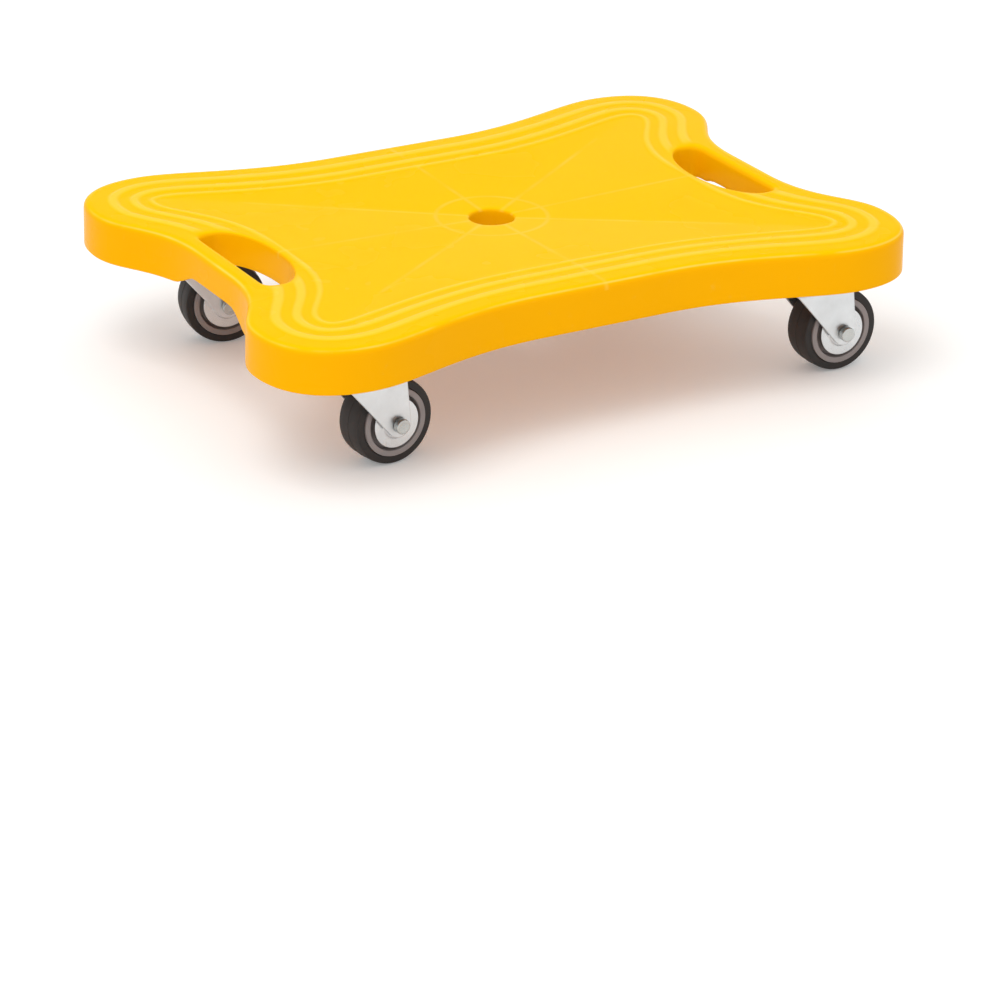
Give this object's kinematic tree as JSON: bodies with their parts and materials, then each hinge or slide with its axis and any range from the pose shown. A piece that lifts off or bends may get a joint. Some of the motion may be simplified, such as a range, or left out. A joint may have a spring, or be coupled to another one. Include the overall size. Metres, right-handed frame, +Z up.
{
  "type": "scooter board",
  "caption": "Low moulded plastic scooter board with a waisted outline, hand slots, a rope hole and swivel casters under its rounded corner lobes.",
  "frame": {"origin": "centre of the board in plan, on the floor that the wheels stand on", "axes": "+X along the board towards the right handle bar, +Y across it towards the back, +Z up"},
  "size_m": [0.41, 0.302, 0.0911],
  "materials": {
    "deck_plastic": "satin-gloss injection-moulded yellow plastic",
    "zinc_steel": "bright zinc-plated pressed steel",
    "hub_plastic": "grey moulded plastic",
    "tyre_rubber": "smooth dark grey thermoplastic rubber"
  },
  "bodies": {
    "deck_assembly": {"deck": "deck_plastic", "front_left_mounting_plate": "zinc_steel", "front_left_plate_screw_1": "zinc_steel", "front_left_plate_screw_2": "zinc_steel", "front_left_plate_screw_3": "zinc_steel", "front_left_plate_screw_4": "zinc_steel", "front_left_swivel_race": "zinc_steel", "front_left_kingpin": "zinc_steel", "front_right_mounting_plate": "zinc_steel", "front_right_plate_screw_1": "zinc_steel", "front_right_plate_screw_2": "zinc_steel", "front_right_plate_screw_3": "zinc_steel", "front_right_plate_screw_4": "zinc_steel", "front_right_swivel_race": "zinc_steel", "front_right_kingpin": "zinc_steel", "back_left_mounting_plate": "zinc_steel", "back_left_plate_screw_1": "zinc_steel", "back_left_plate_screw_2": "zinc_steel", "back_left_plate_screw_3": "zinc_steel", "back_left_plate_screw_4": "zinc_steel", "back_left_swivel_race": "zinc_steel", "back_left_kingpin": "zinc_steel", "back_right_mounting_plate": "zinc_steel", "back_right_plate_screw_1": "zinc_steel", "back_right_plate_screw_2": "zinc_steel", "back_right_plate_screw_3": "zinc_steel", "back_right_plate_screw_4": "zinc_steel", "back_right_swivel_race": "zinc_steel", "back_right_kingpin": "zinc_steel"},
    "front_left_swivel": {"front_left_fork": "zinc_steel", "front_left_axle_rivet": "zinc_steel", "front_left_axle_bush": "zinc_steel", "front_left_thread_guard_front": "zinc_steel", "front_left_thread_guard_back": "zinc_steel"},
    "front_left_wheel": {"front_left_wheel_hub": "hub_plastic", "front_left_tyre": "tyre_rubber"},
    "front_right_swivel": {"front_right_fork": "zinc_steel", "front_right_axle_rivet": "zinc_steel", "front_right_axle_bush": "zinc_steel", "front_right_thread_guard_front": "zinc_steel", "front_right_thread_guard_back": "zinc_steel"},
    "front_right_wheel": {"front_right_wheel_hub": "hub_plastic", "front_right_tyre": "tyre_rubber"},
    "back_left_swivel": {"back_left_fork": "zinc_steel", "back_left_axle_rivet": "zinc_steel", "back_left_axle_bush": "zinc_steel", "back_left_thread_guard_front": "zinc_steel", "back_left_thread_guard_back": "zinc_steel"},
    "back_left_wheel": {"back_left_wheel_hub": "hub_plastic", "back_left_tyre": "tyre_rubber"},
    "back_right_swivel": {"back_right_fork": "zinc_steel", "back_right_axle_rivet": "zinc_steel", "back_right_axle_bush": "zinc_steel", "back_right_thread_guard_front": "zinc_steel", "back_right_thread_guard_back": "zinc_steel"},
    "back_right_wheel": {"back_right_wheel_hub": "hub_plastic", "back_right_tyre": "tyre_rubber"}
  },
  "joints": [
    {"name": "front_left_swivel_turn", "type": "hinge", "parent": "deck_assembly", "child": "front_left_swivel", "pos_m": [-0.1467, -0.1042, 0.0554], "axis": [0, 0, 1], "continuous": true},
    {"name": "front_left_wheel_spin", "type": "hinge", "parent": "front_left_swivel", "child": "front_left_wheel", "pos_m": [-0.12461, -0.10196, 0.025], "axis": [-0.1011, 0.9949, 0], "continuous": true},
    {"name": "front_right_swivel_turn", "type": "hinge", "parent": "deck_assembly", "child": "front_right_swivel", "pos_m": [0.1467, -0.1042, 0.0554], "axis": [0, 0, 1], "continuous": true},
    {"name": "front_right_wheel_spin", "type": "hinge", "parent": "front_right_swivel", "child": "front_right_wheel", "pos_m": [0.1689, -0.1042, 0.025], "axis": [0, 1, 0], "continuous": true},
    {"name": "back_left_swivel_turn", "type": "hinge", "parent": "deck_assembly", "child": "back_left_swivel", "pos_m": [-0.1467, 0.1042, 0.0554], "axis": [0, 0, 1], "continuous": true},
    {"name": "back_left_wheel_spin", "type": "hinge", "parent": "back_left_swivel", "child": "back_left_wheel", "pos_m": [-0.1248, 0.10057, 0.025], "axis": [0.1633, 0.9866, 0], "continuous": true},
    {"name": "back_right_swivel_turn", "type": "hinge", "parent": "deck_assembly", "child": "back_right_swivel", "pos_m": [0.1467, 0.1042, 0.0554], "axis": [0, 0, 1], "continuous": true},
    {"name": "back_right_wheel_spin", "type": "hinge", "parent": "back_right_swivel", "child": "back_right_wheel", "pos_m": [0.1689, 0.1042, 0.025], "axis": [0, 1, 0], "continuous": true}
  ]
}
